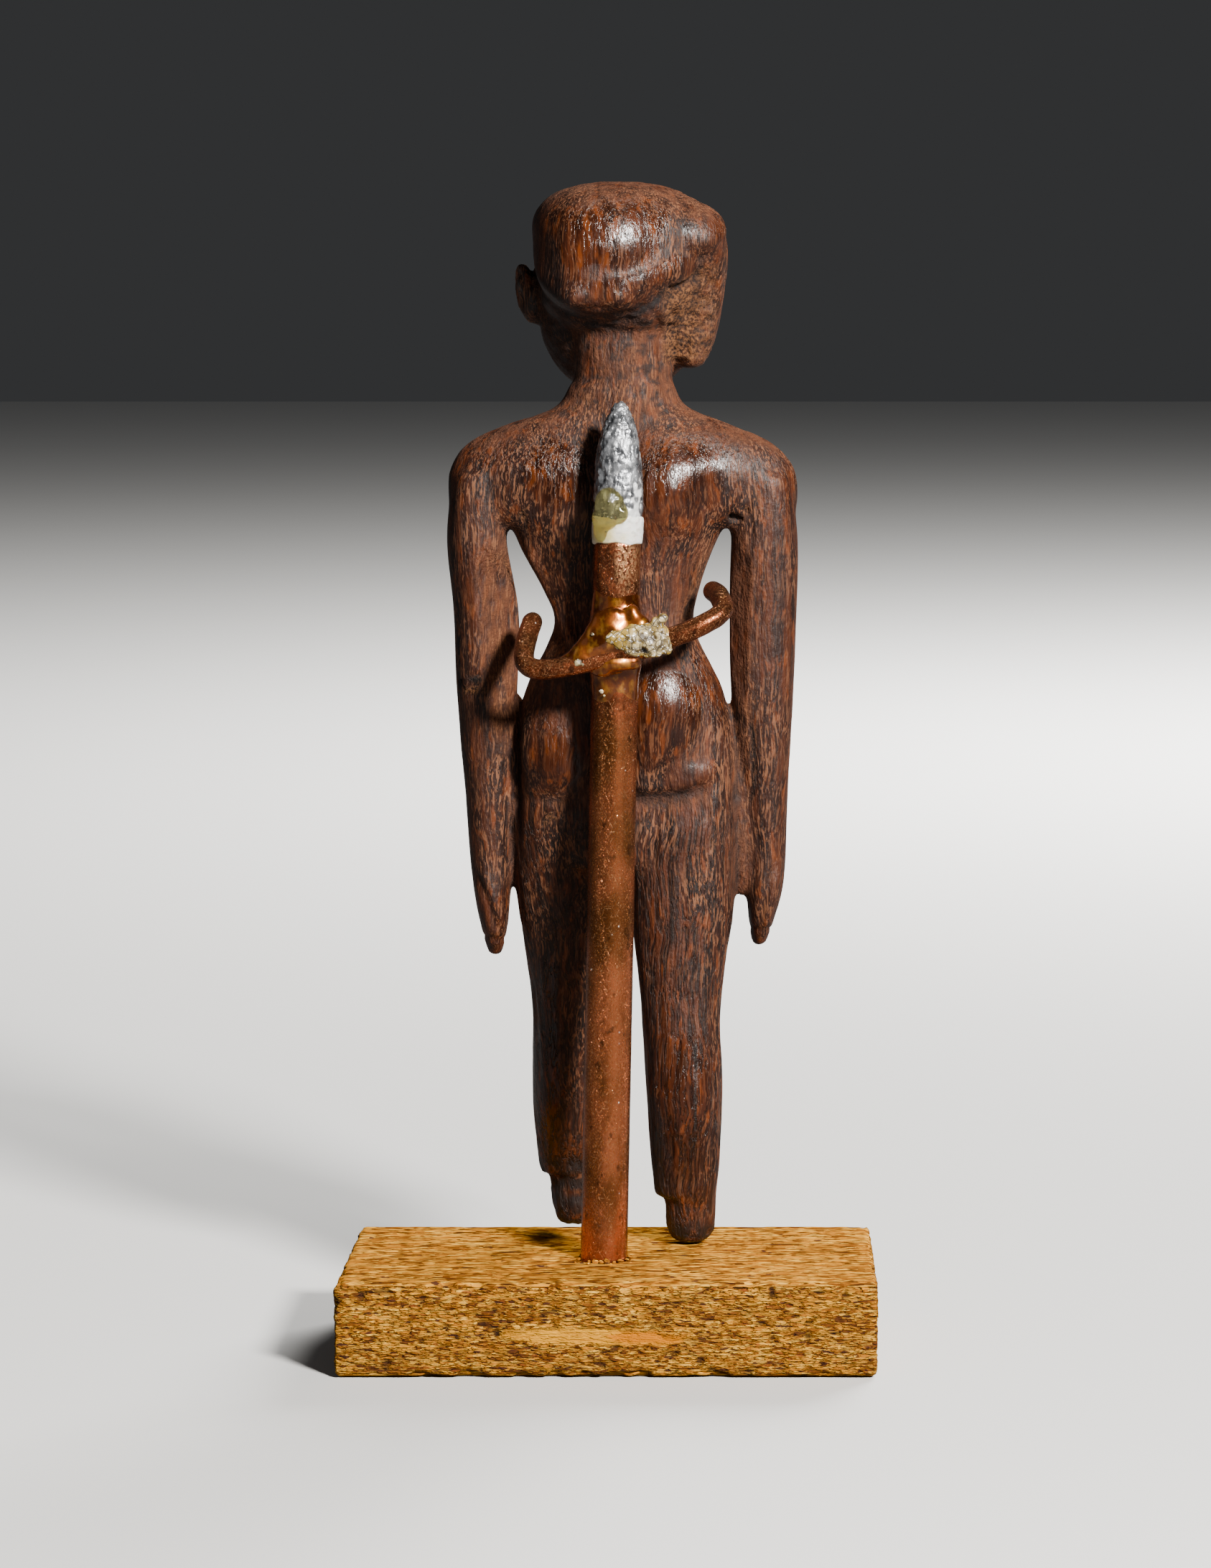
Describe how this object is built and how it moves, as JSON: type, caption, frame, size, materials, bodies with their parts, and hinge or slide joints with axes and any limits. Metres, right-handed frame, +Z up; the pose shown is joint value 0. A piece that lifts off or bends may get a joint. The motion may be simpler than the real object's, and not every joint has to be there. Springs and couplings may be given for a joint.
{
  "type": "carved wooden youth figure on a mount",
  "caption": "Carved wooden striding youth with a sidelock and lost feet, held at the waist by a hooked copper rod in a particle-board block.",
  "frame": {"origin": "centre of the block's underside", "axes": "+Z up along the standing figure, which faces -Y; its right arm is on -X, and the rod stands behind it on +Y"},
  "size_m": [0.1095, 0.0691, 0.2363],
  "materials": {
    "dark_wood": "old dark wood, waxy on the high places and dusty in the hollows",
    "copper_rod": "copper-coloured rod with fine scratches and pale specks",
    "copper_hook": "darker copper-coloured bar, scratched along its length",
    "braze_metal": "glossy lumpy copper-gold filler",
    "flux_crust": "rough pale grey and yellow crust",
    "white_putty": "smooth white putty",
    "grey_tip": "rough silver-grey, hammered look",
    "yellow_resin": "hardened translucent yellow drop",
    "particle_board": "raw sawn particle board"
  },
  "bodies": {
    "root": {"figure": "dark_wood", "mount_rod": "copper_rod", "waist_hook": "copper_hook", "braze_joint": "braze_metal", "flux_crust": "flux_crust", "putty_band": "white_putty", "rod_tip": "grey_tip", "resin_blob": "yellow_resin", "base_block": "particle_board"}
  },
  "joints": []
}
